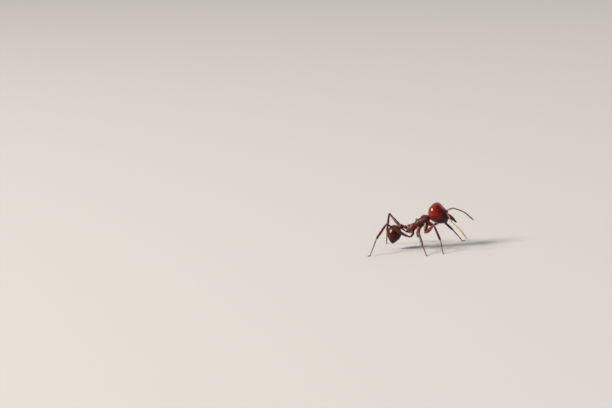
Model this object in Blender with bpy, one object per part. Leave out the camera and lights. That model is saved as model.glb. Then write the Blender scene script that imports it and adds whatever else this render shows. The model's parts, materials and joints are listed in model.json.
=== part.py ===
"""A leafcutter ant soldier, life size, standing still with its head raised and its gaster hanging.

Lengths below are in millimetres and angles in degrees. +X is the way the ant faces, +Y its left,
+Z up, with the floor at z = 0. Yaw turns from +X towards +Y, and pitch lifts above the floor.
Each joint of the body is a thin cut between two solids.
"""

import math

import bmesh
import bpy
from mathutils import Matrix, Vector

MM = 0.001
CUT = 0.04

# Trunk (mesosoma): a line from the waist up to the neck, and the swellings along it.
WAIST = Vector((-2.55, 0.0, 3.95))
TRUNK_START = -0.25
TRUNK_LENGTH = 5.0
TRUNK_PITCH = 27.0
TRUNK_SIDES = 20
TRUNK_RINGS = 26
TRUNK_END_RADIUS = 0.34
SWELLING_BLEND = 6.0
# Each swelling: its centre and half-length along the trunk, then half-width, rise and drop.
PRONOTUM = (4.05, 1.15, 0.98, 1.02, 0.80)
MESONOTUM = (2.75, 1.05, 0.88, 0.92, 0.98)
PROPODEUM = (1.05, 1.25, 0.74, 0.70, 0.78)
TRUNK_SWELLINGS = (PRONOTUM, MESONOTUM, PROPODEUM)
# Each pair of spines: place along the trunk, out to the side, length, root radius, then the
# lean backward from upright and outward, in degrees.
TRUNK_SPINES = (
    (3.85, 0.66, 0.80, 0.20, -22, 34),
    (2.60, 0.42, 0.50, 0.21, 10, 20),
    (1.95, 0.36, 0.30, 0.16, 20, 20),
    (0.80, 0.40, 0.70, 0.19, 40, 24),
)

# Head: one heart-shaped capsule, its long axis tipped down towards the mandibles.
HEAD_CENTRE = Vector((3.88, 0.0, 6.88))
HEAD_PITCH = -33.0
HEAD_BACK = 2.42
HEAD_FRONT = 2.2
HEAD_HALF_WIDTH = 2.45
HEAD_RISE = 2.06
HEAD_DROP = 2.02
HEAD_FULLNESS = 2.4
HEAD_FRONT_WIDTH = 0.58
HEAD_FRONT_RISE = 0.58
HEAD_FRONT_DROP = 0.80
HEAD_BACK_LIFT = 0.28
HEAD_CLEFT_DEPTH = 0.62
HEAD_CLEFT_WIDTH = 0.80
HEAD_SIDES = 30
HEAD_RINGS = 20

EYE_RADIUS = 0.27
EYE_AHEAD, EYE_ASIDE, EYE_ABOVE = 0.30, 0.86, 0.36
EYE_SINK = 0.95
MANDIBLE_LENGTH = 2.5
MANDIBLE_THICKNESS = 0.60
MANDIBLE_BASE_WIDTH = 1.15
MANDIBLE_OUTER_EDGE = (1.05, 0.10)
MANDIBLE_INNER_EDGE = 0.06
MANDIBLE_ROOT_AHEAD = 1.45
MANDIBLE_ABOVE = (0.64, 0.34)
MANDIBLE_ARCH = 0.10
MANDIBLE_FULLNESS = 0.5
MANDIBLE_TEETH = 5
MANDIBLE_TOOTH_DEPTH = 0.10
MANDIBLE_TOOTHED_PART = (0.3, 0.95)

SCAPE_LENGTH = 3.05
SCAPE_RADIUS = 0.25
FUNICULUS_LENGTH = 5.1
FUNICULUS_RADIUS = 0.25
LIMB_SIDES = 10
SOCKET = (1.08, 0.62, 1.26)
# Each antenna: yaw and pitch of the scape, then of the funiculus's root half and tip half.
ANTENNAE = {
    "left": (1, (75, 1), (37, -22), (17, -46)),
    "right": (-1, (-56, -37), (-43, -27), (-45, -39)),
}

# Legs: the lengths of coxa, trochanter, femur, tibia and tarsus of each pair.
LEG_LENGTHS = {
    "fore": (1.75, 0.50, 4.05, 3.30, 3.45),
    "mid": (1.25, 0.55, 4.20, 3.30, 3.45),
    "hind": (1.30, 0.80, 5.40, 4.10, 4.20),
}
COXA_RADII = {"fore": (0.60, 0.42), "mid": (0.46, 0.34), "hind": (0.48, 0.34)}
# Where each pair hangs from the trunk: along it from the waist, below its line, and to the side.
HIPS = {"fore": (4.0, 0.72, 0.50), "mid": (2.25, 0.82, 0.55), "hind": (0.80, 0.62, 0.55)}
# The stance: (yaw, pitch) of coxa, trochanter, femur and tibia, then the yaw of the tarsus.
STANCE = {
    "right_fore": ((-96, -52), (-99, -36), (-50, 30), (-33, -63), -68),
    "right_mid": ((-145, -66), (-30, -70), (-80, 25), (-60, -53), -66),
    "right_hind": ((-77, -25), (-164, -38), (-175, 33), (-122, -37), -127),
    "left_fore": ((56, -25), (75, 5), (76, 5), (19, -46), -4),
    "left_mid": ((123, -45), (97, -9), (97, 24), (100, -65), 94),
    "left_hind": ((146, -22), (159, 9), (147, 40), (128, -70), 106),
}
TOE_LENGTH = 0.60
TOE_SINK = 0.06
LEG_RADIUS = 0.25
TROCHANTER_RADIUS = 0.30
FEMUR_BOW = 0.22

WAIST_CUT = 0.10
PETIOLE_LENGTH = 1.22
PETIOLE_PITCH = 42
POSTPETIOLE_LENGTH = 1.0
POSTPETIOLE_PITCH = -25
GASTER_CENTRE = Vector((-5.42, 0.0, 3.10))
GASTER_LENGTH = 3.85
GASTER_HALF_WIDTH = 1.62
GASTER_HALF_DEPTH = 1.50
GASTER_PITCH = -75.0
GASTER_POINTED = 0.30
GASTER_PLATE_EDGE = 0.85

COLOURS = {
    "head": ((0.17, 0.012, 0.008), 0.18),
    "trunk": ((0.10, 0.012, 0.009), 0.32),
    "gaster": ((0.05, 0.008, 0.006), 0.25),
    "leg": ((0.11, 0.018, 0.010), 0.35),
    "antenna": ((0.20, 0.07, 0.035), 0.45),
    "mandible": ((0.035, 0.008, 0.006), 0.25),
    "eye": ((0.008, 0.007, 0.007), 0.15),
}


def clear_scene():
    for obj in list(bpy.data.objects):
        bpy.data.objects.remove(obj)


def material(slot):
    found = bpy.data.materials.get(slot)
    if found:
        return found
    colour, roughness = COLOURS[slot]
    made = bpy.data.materials.new(slot)
    made.use_nodes = True
    shader = made.node_tree.nodes["Principled BSDF"]
    shader.inputs["Base Color"].default_value = (*colour, 1.0)
    shader.inputs["Roughness"].default_value = roughness
    shader.inputs["Metallic"].default_value = 0.0
    return made


def heading(yaw, pitch):
    """The unit direction of a yaw and a pitch."""
    yaw, pitch = math.radians(yaw), math.radians(pitch)
    flat = math.cos(pitch)
    return Vector((flat * math.cos(yaw), flat * math.sin(yaw), math.sin(pitch)))


def ease(x):
    """0 to 1 with a soft start and end."""
    x = min(1.0, max(0.0, x))
    return x * x * (3 - 2 * x)


def between(pair, fraction):
    return pair[0] + (pair[1] - pair[0]) * fraction


def smooth_max(values):
    """The largest value, with the creases between equals rounded."""
    return sum(max(0.0, v) ** SWELLING_BLEND for v in values) ** (1 / SWELLING_BLEND)


# Building meshes


def lofted(rings, start=None, end=None):
    """A closed bmesh through rings of points, its ends drawn to a point or capped flat."""
    bm = bmesh.new()
    rows = [[bm.verts.new(p) for p in ring] for ring in rings]
    count = len(rows[0])
    for low, high in zip(rows, rows[1:]):
        for i in range(count):
            j = (i + 1) % count
            bm.faces.new((low[i], low[j], high[j], high[i]))
    for row, tip in ((rows[0], start), (rows[-1], end)):
        if tip is None:
            bm.faces.new(row)
            continue
        pole = bm.verts.new(tip)
        for i in range(count):
            bm.faces.new((row[i], row[(i + 1) % count], pole))
    bmesh.ops.recalc_face_normals(bm, faces=bm.faces)
    return bm


def across(direction, hint):
    """The part of hint that lies across a direction, at unit length."""
    return (hint - direction * hint.dot(direction)).normalized()


def ring_at(centre, direction, radius, sides, flatten=1.0, hint=None):
    """A ring of points round a centre, across a direction. The hint is the way of its width."""
    side = across(direction, hint or Vector((0.0, 0.0, 1.0)).cross(direction))
    up = direction.cross(side)
    turns = [2 * math.pi * i / sides for i in range(sides)]
    return [centre + radius * (side * math.cos(t) + up * (flatten * math.sin(t))) for t in turns]


def limb(points, radius, sides=LIMB_SIDES, steps=7):
    """A round-ended tube along points. radius is a function of the fraction of its length."""
    spans = [(b - a).length for a, b in zip(points, points[1:])]
    total = sum(spans)
    places = []
    walked = 0.0
    for a, b, span in zip(points, points[1:], spans):
        count = max(1, round(steps * span / total))
        for i in range(count):
            places.append((a.lerp(b, i / count), (walked + span * i / count) / total))
        walked += span
    places.append((points[-1], 1.0))
    rings = []
    first = (places[1][0] - places[0][0]).normalized()
    last = (places[-1][0] - places[-2][0]).normalized()
    hint = across(first, first.orthogonal())
    cap_turns = (60, 30)
    for turn in cap_turns:
        back, shrink = math.sin(math.radians(turn)), math.cos(math.radians(turn))
        centre = places[0][0] - first * (radius(0.0) * back)
        rings.append(ring_at(centre, first, radius(0.0) * shrink, sides, hint=hint))
    for i, (place, fraction) in enumerate(places):
        before = places[max(0, i - 1)][0]
        after = places[min(len(places) - 1, i + 1)][0]
        way = (after - before).normalized()
        hint = across(way, hint)
        rings.append(ring_at(place, way, radius(fraction), sides, hint=hint))
    for turn in reversed(cap_turns):
        ahead, shrink = math.sin(math.radians(turn)), math.cos(math.radians(turn))
        centre = places[-1][0] + last * (radius(1.0) * ahead)
        rings.append(ring_at(centre, last, radius(1.0) * shrink, sides, hint=hint))
    start = places[0][0] - first * radius(0.0)
    end = places[-1][0] + last * radius(1.0)
    return lofted(rings, start, end)


def ball(centre, radii, frame, sides, rings, shape=None):
    """An ellipsoid in a frame of three axes, its first axis running from pole to pole.

    shape moves each point of the unit ball to its place, in place of the plain radii.
    """
    place = shape or (lambda p: Vector((p.x * radii[0], p.y * radii[1], p.z * radii[2])))
    turn = Matrix(frame).transposed()

    def put(p):
        return centre + turn @ place(p)

    loops = []
    for i in range(1, rings):
        a = math.pi * i / rings
        flat = math.sin(a)
        turns = [2 * math.pi * j / sides for j in range(sides)]
        loops.append([put(Vector((-math.cos(a), flat * math.cos(t), flat * math.sin(t)))) for t in turns])
    return lofted(loops, put(Vector((-1.0, 0.0, 0.0))), put(Vector((1.0, 0.0, 0.0))))


def cut_away(bm, point, outward):
    """Cuts off all that lies beyond a plane, and closes the cut."""
    geometry = bm.verts[:] + bm.edges[:] + bm.faces[:]
    bmesh.ops.bisect_plane(bm, geom=geometry, dist=1e-5, plane_co=point, plane_no=outward, clear_outer=True)
    rim = [edge for edge in bm.edges if edge.is_boundary]
    if rim:
        bmesh.ops.holes_fill(bm, edges=rim, sides=0)
    bmesh.ops.recalc_face_normals(bm, faces=bm.faces)


def joint_cut(bm, joint, inner, outer):
    """Cuts a limb at a joint, square between the limb's own far end and its neighbour's."""
    own = (inner - joint).normalized()
    other = (outer - joint).normalized()
    outward = (other - own).normalized()
    cut_away(bm, joint - outward * (CUT / 2), outward)


def solid(name, bm, slot, cutters=(), joined=None):
    """One named solid. Cutters are taken from it, and a joined object is added to it."""
    bmesh.ops.scale(bm, vec=(MM, MM, MM), verts=bm.verts)
    mesh = bpy.data.meshes.new(name)
    bm.to_mesh(mesh)
    bm.free()
    mesh.materials.append(material(slot))
    mesh.shade_smooth()
    mesh.set_sharp_from_angle(angle=math.radians(50))
    obj = bpy.data.objects.new(name, mesh)
    bpy.context.scene.collection.objects.link(obj)
    if joined:
        boolean(obj, joined, "UNION")
    for cutter in cutters:
        boolean(obj, cutter, "DIFFERENCE")
    return obj


def guide(name, bm, slot="leg"):
    """A helper for Booleans, left out of the model."""
    obj = solid(name, bm, slot)
    obj.hide_render = True
    obj.display_type = "WIRE"
    return obj


def boolean(obj, other, operation):
    modifier = obj.modifiers.new(f"{operation.lower()} {other.name}", "BOOLEAN")
    modifier.object = other
    modifier.operation = operation
    modifier.solver = "EXACT"


# Trunk


def trunk_axes():
    along = heading(0, TRUNK_PITCH)
    side = Vector((0.0, 1.0, 0.0))
    return along, side, along.cross(side)


def on_trunk(along, above, side):
    forward, left, up = trunk_axes()
    return WAIST + forward * along + up * above + left * side


def swelling(s, centre, half_length, size):
    """The half-size at s of an ellipse centred at centre."""
    reach = 1 - ((s - centre) / half_length) ** 2
    return size * math.sqrt(reach) if reach > 0 else 0.0


def trunk_section(s):
    """Half-width, rise and drop of the trunk at s."""
    section = []
    for k in range(3):
        parts = [swelling(s, centre, half, sizes[k]) for centre, half, *sizes in TRUNK_SWELLINGS]
        section.append(smooth_max([TRUNK_END_RADIUS] + parts))
    return section


def trunk_body(grow=0.0):
    rings = []
    for i in range(TRUNK_RINGS):
        s = between((TRUNK_START, TRUNK_LENGTH), i / (TRUNK_RINGS - 1))
        width, rise, drop = (size + grow for size in trunk_section(s))
        ring = []
        for j in range(TRUNK_SIDES):
            t = 2 * math.pi * j / TRUNK_SIDES
            height = math.sin(t) * (rise if math.sin(t) > 0 else drop)
            ring.append(on_trunk(s, height, width * math.cos(t)))
        rings.append(ring)
    return lofted(rings)


def spine(root, direction, length, radius, sides=8):
    """A cone with a blunt tip, sunk well into what it grows from."""
    sunk = 0.45
    stations = ((-sunk, 1.0), (0.0, 1.0), (0.35, 0.62), (0.75, 0.32), (0.95, 0.16))
    rings = [
        ring_at(root + direction * (length * f if f > 0 else f), direction, radius * r, sides)
        for f, r in stations
    ]
    return lofted(rings, None, root + direction * length)


def merged(bms):
    """One bmesh holding the separate shapes of several."""
    whole = bmesh.new()
    for bm in bms:
        piece = bpy.data.meshes.new("piece")
        bm.to_mesh(piece)
        bm.free()
        whole.from_mesh(piece)
        bpy.data.meshes.remove(piece)
    return whole


def trunk_spines():
    forward, left, up = trunk_axes()
    made = []
    for along, aside, length, radius, back, out in TRUNK_SPINES:
        for side in (-1, 1):
            width, rise, _ = trunk_section(along)
            height = rise * math.sqrt(max(0.0, 1 - (aside / width) ** 2)) - 0.08
            root = on_trunk(along, height, side * aside)
            tilt = math.radians(out)
            lean = math.radians(back)
            way = up * (math.cos(lean) * math.cos(tilt)) - forward * (math.sin(lean) * math.cos(tilt))
            way = way + left * (side * math.sin(tilt))
            made.append(spine(root, way.normalized(), length, radius))
    return merged(made)


def build_trunk():
    spines = guide("trunk_spines", trunk_spines(), "trunk")
    body = trunk_body()
    start, petiole_end, _ = waist_points()
    joint_cut(body, start, on_trunk(1.0, 0.0, 0.0), petiole_end)
    return solid("mesosoma", body, "trunk", joined=spines)


# Head


def head_axes():
    forward = heading(0, HEAD_PITCH)
    side = Vector((0.0, 1.0, 0.0))
    return forward, side, forward.cross(side)


def on_head(along, aside, above):
    forward, left, up = head_axes()
    return HEAD_CENTRE + forward * along + left * aside + up * above


def head_surface(p, grow=0.0):
    """Where a point of the unit ball lies on the head: full, tapered in front, raised and cleft behind."""
    ahead = (p.x + 0.6) / 1.6 if p.x > -0.6 else 0.0
    width = HEAD_HALF_WIDTH * (1 - (1 - HEAD_FRONT_WIDTH) * ease(ahead))
    rise = HEAD_RISE * (1 - (1 - HEAD_FRONT_RISE) * ahead)
    drop = HEAD_DROP * (1 - (1 - HEAD_FRONT_DROP) * ahead)
    round_part = math.sqrt(max(1e-9, 1 - p.x * p.x))
    full = (max(0.0, 1 - abs(p.x) ** HEAD_FULLNESS)) ** (1 / HEAD_FULLNESS) / round_part
    x = p.x * (HEAD_FRONT if p.x > 0 else HEAD_BACK)
    y = p.y * width * full
    z = p.z * full * (rise if p.z > 0 else drop) + HEAD_BACK_LIFT * ease(-p.x)
    x += HEAD_CLEFT_DEPTH * ease(-p.x) * math.exp(-((y / HEAD_CLEFT_WIDTH) ** 2))
    return Vector((x, y, z)) * (1 + grow / HEAD_HALF_WIDTH)


def head_shape(grow=0.0):
    return ball(HEAD_CENTRE, None, head_axes(), HEAD_SIDES, HEAD_RINGS, lambda p: head_surface(p, grow))


def occipital_spines():
    """A short spine on each lobe at the back of the head."""
    made = []
    for side in (-1, 1):
        root = on_head(-1.95, side * 1.30, 0.38)
        way = (on_head(-2.9, side * 1.70, 0.52) - root).normalized()
        made.append(spine(root, way, 0.30, 0.20))
    return merged(made)


def build_head(neck_cutter):
    spines = guide("head_spines", occipital_spines(), "head")
    return solid("head", head_shape(), "head", cutters=(neck_cutter,), joined=spines)


def build_eyes(head_cutter):
    for name, side in (("left", 1), ("right", -1)):
        outward = Vector((EYE_AHEAD, side * EYE_ASIDE, EYE_ABOVE)).normalized()
        centre = on_head(*head_surface(outward) * EYE_SINK)
        bm = ball(centre, (EYE_RADIUS, EYE_RADIUS, EYE_RADIUS), head_axes(), 12, 8)
        solid(f"eye_{name}", bm, "eye", cutters=(head_cutter,))


def mandible(side):
    """A broad curved blade, toothed along its inner edge, thick at the root and thin at the tip."""
    forward, left, _ = head_axes()
    stations = 13
    rings = []
    for i in range(stations):
        f = i / (stations - 1)
        outer = between(MANDIBLE_OUTER_EDGE, f**2.2)
        width = MANDIBLE_BASE_WIDTH * (1 - 0.80 * f**1.5)
        toothed = MANDIBLE_TOOTHED_PART[0] < f < MANDIBLE_TOOTHED_PART[1]
        tooth = MANDIBLE_TOOTH_DEPTH * math.cos(2 * math.pi * MANDIBLE_TEETH * f) if toothed else 0.0
        inner = max(MANDIBLE_INNER_EDGE, outer - width + tooth)
        fullness = 1 + MANDIBLE_FULLNESS * math.sin(math.pi * min(1.0, 1.3 * f))
        half_thick = MANDIBLE_THICKNESS / 2 * (1 - 0.45 * f) * fullness
        half_wide = max(0.14, (outer - inner) / 2)
        above = between(MANDIBLE_ABOVE, f**1.4) + MANDIBLE_ARCH * math.sin(math.pi * f)
        centre = on_head(MANDIBLE_ROOT_AHEAD + MANDIBLE_LENGTH * f, side * (outer + inner) / 2, above)
        rings.append(ring_at(centre, forward, half_wide, 10, flatten=half_thick / half_wide, hint=left))
    return lofted(rings)


def build_mandibles(head_cutter):
    for name, side in (("left", 1), ("right", -1)):
        solid(f"mandible_{name}", mandible(side), "mandible", cutters=(head_cutter,))


def antenna_joints(side, scape, near, far):
    along, aside, above = SOCKET
    socket = on_head(along, side * aside, above)
    elbow = socket + heading(*scape) * SCAPE_LENGTH
    bend = elbow + heading(*near) * (FUNICULUS_LENGTH / 2)
    return socket, elbow, bend, bend + heading(*far) * (FUNICULUS_LENGTH / 2)


def build_antennae(head_cutter):
    for name, (side, *ways) in ANTENNAE.items():
        socket, elbow, bend, tip = antenna_joints(side, *ways)
        scape = limb([socket, elbow], lambda f: SCAPE_RADIUS)
        joint_cut(scape, elbow, socket, bend)
        solid(f"antenna_{name}_scape", scape, "antenna", cutters=(head_cutter,))
        bowed = bend.lerp(tip, 0.25) + (bend - elbow.lerp(tip, 0.5)) * 0.1
        curve = [elbow, elbow.lerp(bend, 0.75), bowed, tip]
        funiculus = limb(curve, lambda f: FUNICULUS_RADIUS, steps=10)
        joint_cut(funiculus, elbow, bend, socket)
        solid(f"antenna_{name}_funiculus", funiculus, "antenna")


# Waist and gaster


def waist_points():
    """The joints from the trunk back to the gaster: an arch that bends down at its end."""
    start = on_trunk(WAIST_CUT, 0.0, 0.0)
    petiole_end = start + heading(180, PETIOLE_PITCH) * PETIOLE_LENGTH
    postpetiole_end = petiole_end + heading(180, POSTPETIOLE_PITCH) * POSTPETIOLE_LENGTH
    return start, petiole_end, postpetiole_end


def build_waist():
    start, middle, end = waist_points()

    def petiole_radius(f):
        return 0.27 + 0.14 * math.exp(-(((f - 0.66) / 0.25) ** 2))

    def postpetiole_radius(f):
        return 0.36 + 0.26 * math.sin(math.pi * min(1.0, 0.15 + 0.75 * f))

    trunk_end = on_trunk(1.0, 0.0, 0.0)
    petiole = limb([start, middle], petiole_radius, sides=14, steps=9)
    joint_cut(petiole, start, middle, trunk_end)
    joint_cut(petiole, middle, start, end)
    solid("petiole", petiole, "trunk")
    postpetiole = limb([middle, end], postpetiole_radius, sides=14, steps=7)
    joint_cut(postpetiole, middle, end, start)
    joint_cut(postpetiole, end, middle, end + gaster_axes()[0])
    solid("postpetiole", postpetiole, "trunk")


def gaster_axes():
    back = heading(180, GASTER_PITCH)
    side = Vector((0.0, 1.0, 0.0))
    return back, side, side.cross(back)


def gaster_body():
    """An egg, blunt where it meets the waist and drawn to a point at its tip."""

    def place(p):
        x = p.x * GASTER_LENGTH / 2
        pointed = 1 - GASTER_POINTED * ease((p.x + 0.1) / 1.1)
        return Vector((x, p.y * GASTER_HALF_WIDTH * pointed, p.z * GASTER_HALF_DEPTH * pointed))

    return ball(GASTER_CENTRE, None, gaster_axes(), 22, 18, place)


def build_gaster():
    back = gaster_axes()[0]
    middle, end = waist_points()[1:]
    for name, way in (("gaster_front", 1), ("gaster_tip", -1)):
        body = gaster_body()
        cut_away(body, GASTER_CENTRE + back * (GASTER_PLATE_EDGE - way * CUT / 2), back * way)
        if name == "gaster_front":
            joint_cut(body, end, end + back, middle)
        solid(name, body, "gaster")


# Legs


def leg_joints(leg):
    """The joints of a leg from hip to toe. The tarsus reaches the floor, and its toe lies on it."""
    side = 1 if leg.startswith("left") else -1
    pair = leg.split("_")[1]
    lengths = LEG_LENGTHS[pair]
    along, below, aside = HIPS[pair]
    *ways, foot_yaw = STANCE[leg]
    joints = [on_trunk(along, -below, side * aside)]
    for way, length in zip(ways, lengths):
        joints.append(joints[-1] + heading(*way) * length)
    ankle = joints[-1]
    floor = LEG_RADIUS - TOE_SINK
    drop = ankle.z - floor
    reach = lengths[-1] - TOE_LENGTH
    out = math.sqrt(max(0.01, reach * reach - drop * drop))
    flat = heading(foot_yaw, 0)
    bend = Vector((ankle.x, ankle.y, floor)) + flat * out
    return joints + [bend, bend + flat * TOE_LENGTH]


def femur_radius(f):
    return LEG_RADIUS + 0.05 + 0.07 * math.sin(math.pi * min(1.0, f * 1.15)) ** 2


def tibia_radius(f):
    return LEG_RADIUS + 0.05 * ease(f * 1.3)


def build_segment(name, points, radius, steps, before=None, after=None, cutters=()):
    """A segment of a leg, cut square at the joint that it shares with the segment before or after."""
    bm = limb(points, radius, steps=steps)
    if before:
        joint_cut(bm, points[0], points[-1], before)
    if after:
        joint_cut(bm, points[-1], points[0], after)
    solid(name, bm, "leg", cutters=cutters)


def build_leg(leg, trunk_cutter):
    hip, coxa_end, trochanter, knee, ankle, bend, toe = leg_joints(leg)
    name = f"leg_{leg}_"
    coxa_radii = COXA_RADII[leg.split("_")[1]]
    coxa = [hip, coxa_end]
    build_segment(name + "coxa", coxa, lambda f: between(coxa_radii, f), 4, None, trochanter, (trunk_cutter,))
    build_segment(name + "trochanter", [coxa_end, trochanter], lambda f: TROCHANTER_RADIUS, 2, hip, knee)
    way = (knee - trochanter).normalized()
    sideways = way.cross(Vector((0.0, 0.0, -1.0)))
    bowed = trochanter.lerp(knee, 0.3) + sideways.cross(way) * FEMUR_BOW
    build_segment(name + "femur", [trochanter, bowed, knee], femur_radius, 7, coxa_end, ankle)
    build_segment(name + "tibia", [knee, ankle], tibia_radius, 4, trochanter, bend)
    turn = bend.lerp(ankle, 0.12)
    heel = bend.lerp(toe, 0.35)
    tarsus = limb([ankle, turn, heel, toe], lambda f: LEG_RADIUS, steps=8)
    joint_cut(tarsus, ankle, bend, knee)
    cut_away(tarsus, Vector((0.0, 0.0, 0.0)), Vector((0.0, 0.0, -1.0)))
    solid(name + "tarsus", tarsus, "leg")


def stand_over_origin():
    """Moves the model so that the middle of its box stands over the origin."""
    points = [v.co for obj in bpy.data.objects if not obj.hide_render for v in obj.data.vertices]
    middle = [(min(p[k] for p in points) + max(p[k] for p in points)) / 2 for k in range(2)]
    for obj in bpy.data.objects:
        obj.data.transform(Matrix.Translation((-middle[0], -middle[1], 0.0)))


def main():
    clear_scene()
    trunk_cutter = guide("trunk_cutter", trunk_body(CUT))
    head_cutter = guide("head_cutter", head_shape(CUT))
    build_trunk()
    build_head(trunk_cutter)
    build_eyes(head_cutter)
    build_mandibles(head_cutter)
    build_antennae(head_cutter)
    build_waist()
    build_gaster()
    for leg in STANCE:
        build_leg(leg, trunk_cutter)
    stand_over_origin()


main()
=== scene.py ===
"""The looks of a life-size leafcutter ant soldier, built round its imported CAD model.

Shapes are made in millimetres, in the CAD's own frame, and turned to metres as each piece is made.
+X is the way the ant faces, +Y its left, +Z up, and the floor is at z = 0.
"""

import json
import math

import bpy
import numpy as np
from mathutils import Matrix, Vector
from mathutils.bvhtree import BVHTree
from mathutils.kdtree import KDTree


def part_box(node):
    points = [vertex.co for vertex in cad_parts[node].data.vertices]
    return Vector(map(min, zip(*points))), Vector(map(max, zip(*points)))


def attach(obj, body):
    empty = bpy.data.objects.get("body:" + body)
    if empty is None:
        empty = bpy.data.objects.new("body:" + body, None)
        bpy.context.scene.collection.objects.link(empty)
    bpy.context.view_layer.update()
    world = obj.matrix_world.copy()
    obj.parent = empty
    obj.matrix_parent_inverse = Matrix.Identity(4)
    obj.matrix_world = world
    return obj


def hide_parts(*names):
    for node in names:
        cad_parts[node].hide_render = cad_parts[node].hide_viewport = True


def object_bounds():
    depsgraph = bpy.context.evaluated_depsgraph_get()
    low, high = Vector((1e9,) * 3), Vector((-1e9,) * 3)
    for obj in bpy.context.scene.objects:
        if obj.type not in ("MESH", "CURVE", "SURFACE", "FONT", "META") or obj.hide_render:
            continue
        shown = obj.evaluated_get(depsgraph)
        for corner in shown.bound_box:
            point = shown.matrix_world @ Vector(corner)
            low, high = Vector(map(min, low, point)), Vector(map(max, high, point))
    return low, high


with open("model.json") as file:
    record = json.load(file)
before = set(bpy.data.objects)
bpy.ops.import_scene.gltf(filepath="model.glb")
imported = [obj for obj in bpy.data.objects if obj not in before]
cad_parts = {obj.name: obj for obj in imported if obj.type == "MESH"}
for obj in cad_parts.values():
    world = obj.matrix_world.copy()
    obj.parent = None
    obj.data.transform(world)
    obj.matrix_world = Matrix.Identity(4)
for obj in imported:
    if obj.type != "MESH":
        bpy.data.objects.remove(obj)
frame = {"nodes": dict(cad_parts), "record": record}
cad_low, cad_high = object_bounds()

MM, PI = 0.001, math.pi
RANDOM = np.random.default_rng(20)
UP = np.array([0.0, 0.0, 1.0])
SIDES = {"left": 1, "right": -1}
PAIRS = ("fore", "mid", "hind")

# The body's own measures, as in the CAD.
WAIST = np.array([-2.55, 0.0, 3.95])
WAIST_CUT = 0.1
TRUNK_START, TRUNK_LENGTH, TRUNK_PITCH, TRUNK_END_RADIUS = -0.25, 5.0, 27.0, 0.34
# The trunk's three swellings: each one's middle, half length, half width, rise and drop.
PRONOTUM = (4.05, 1.15, 0.98, 1.02, 0.8)
MESONOTUM = (2.75, 1.05, 0.88, 0.92, 0.98)
PROPODEUM = (1.05, 1.25, 0.74, 0.7, 0.78)
# Each pair of spines: place along and aside, length, radius, and lean back and out in degrees.
TRUNK_SPINES = (
    (3.85, 0.66, 0.8, 0.2, -22, 34),
    (2.6, 0.42, 0.5, 0.21, 10, 20),
    (1.95, 0.36, 0.3, 0.16, 20, 20),
    (0.8, 0.4, 0.7, 0.19, 40, 24),
)
HEAD_CENTRE, HEAD_PITCH = np.array([3.88, 0.0, 6.88]), -33.0
HEAD_BACK, HEAD_FRONT, HEAD_HALF_WIDTH, HEAD_RISE, HEAD_DROP = 2.42, 2.2, 2.45, 2.06, 2.02
HEAD_FULLNESS, HEAD_FRONT_WIDTH, HEAD_FRONT_RISE, HEAD_FRONT_DROP = 2.4, 0.58, 0.58, 0.8
HEAD_BACK_LIFT, HEAD_CLEFT_DEPTH, HEAD_CLEFT_WIDTH = 0.28, 0.62, 0.8
SOCKET = np.array([1.08, 0.62, 1.245])
HORN_ROOT, HORN_TIP = np.array([-1.95, 1.3, 0.38]), np.array([-2.9, 1.7, 0.52])
GASTER_CENTRE, GASTER_LENGTH, GASTER_PITCH = np.array([-5.42, 0.0, 3.1]), 3.85, -75.0
GASTER_HALF_WIDTH, GASTER_HALF_DEPTH, GASTER_POINTED = 1.62, 1.5, 0.3

# The shell's size as a share of the CAD's, so that it lies inside it.
INSET = 0.988


# Small maths


def unit(v):
    v = np.asarray(v, float)
    return v / np.maximum(np.linalg.norm(v, axis=-1, keepdims=True), 1e-12)


def heading(yaw, pitch):
    yaw, pitch = math.radians(yaw), math.radians(pitch)
    return np.array([math.cos(pitch) * math.cos(yaw), math.cos(pitch) * math.sin(yaw), math.sin(pitch)])


def clamp(x):
    return np.clip(x, 0, 1)


def ease(x, width=1.0):
    """0 up to x = 0, rising smoothly to 1 at x = width."""
    x = clamp(x / width)
    return x * x * (3 - 2 * x)


def hump(x, width):
    """1 at x = 0, falling to nothing a few widths away."""
    return np.exp(-((x / width) ** 2))


def between(low, high, f):
    return low + (high - low) * f


def full_turn(count):
    return 2 * PI * np.arange(count) / count


def face_crosses(corners):
    """Each triangle's normal, as long as twice its area."""
    return np.cross(corners[:, 1] - corners[:, 0], corners[:, 2] - corners[:, 0])


# Reading the frame


def cad_mesh(node):
    mesh = frame["nodes"][node].data
    mesh.calc_loop_triangles()
    points = np.array([v.co for v in mesh.vertices]) / MM
    return points, np.array([t.vertices for t in mesh.loop_triangles])


def meeting(node, other, reach=0.06):
    """The middle of the faces with which one CAD node meets another."""
    points, faces = cad_mesh(node)
    tree = BVHTree.FromPolygons(*(a.tolist() for a in cad_mesh(other)))
    corners = points[faces]
    centres = corners.mean(1)
    gaps = np.array([tree.find_nearest(Vector(c))[3] for c in centres])
    areas = np.linalg.norm(face_crosses(corners), axis=1) * (gaps < gaps.min() + reach)
    return (centres * areas[:, None]).sum(0) / areas.sum()


def joint(node, other):
    return (meeting(node, other) + meeting(other, node)) / 2


def waypoint(node, start, end, fraction):
    """The middle of a CAD limb at a fraction of the way between two of its points."""
    points, faces = cad_mesh(node)
    along = (points - start) @ (end - start) / ((end - start) @ (end - start)) - fraction
    a, b = np.vstack([faces[:, [0, 1]], faces[:, [1, 2]], faces[:, [2, 0]]]).T
    crossing = (along[a] < 0) != (along[b] < 0)
    a, b = a[crossing], b[crossing]
    share = along[a] / (along[a] - along[b])
    return (points[a] + share[:, None] * (points[b] - points[a])).mean(0)


def middle(node):
    low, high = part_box(node)
    return (np.array(low) + np.array(high)) / 2 / MM


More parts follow.
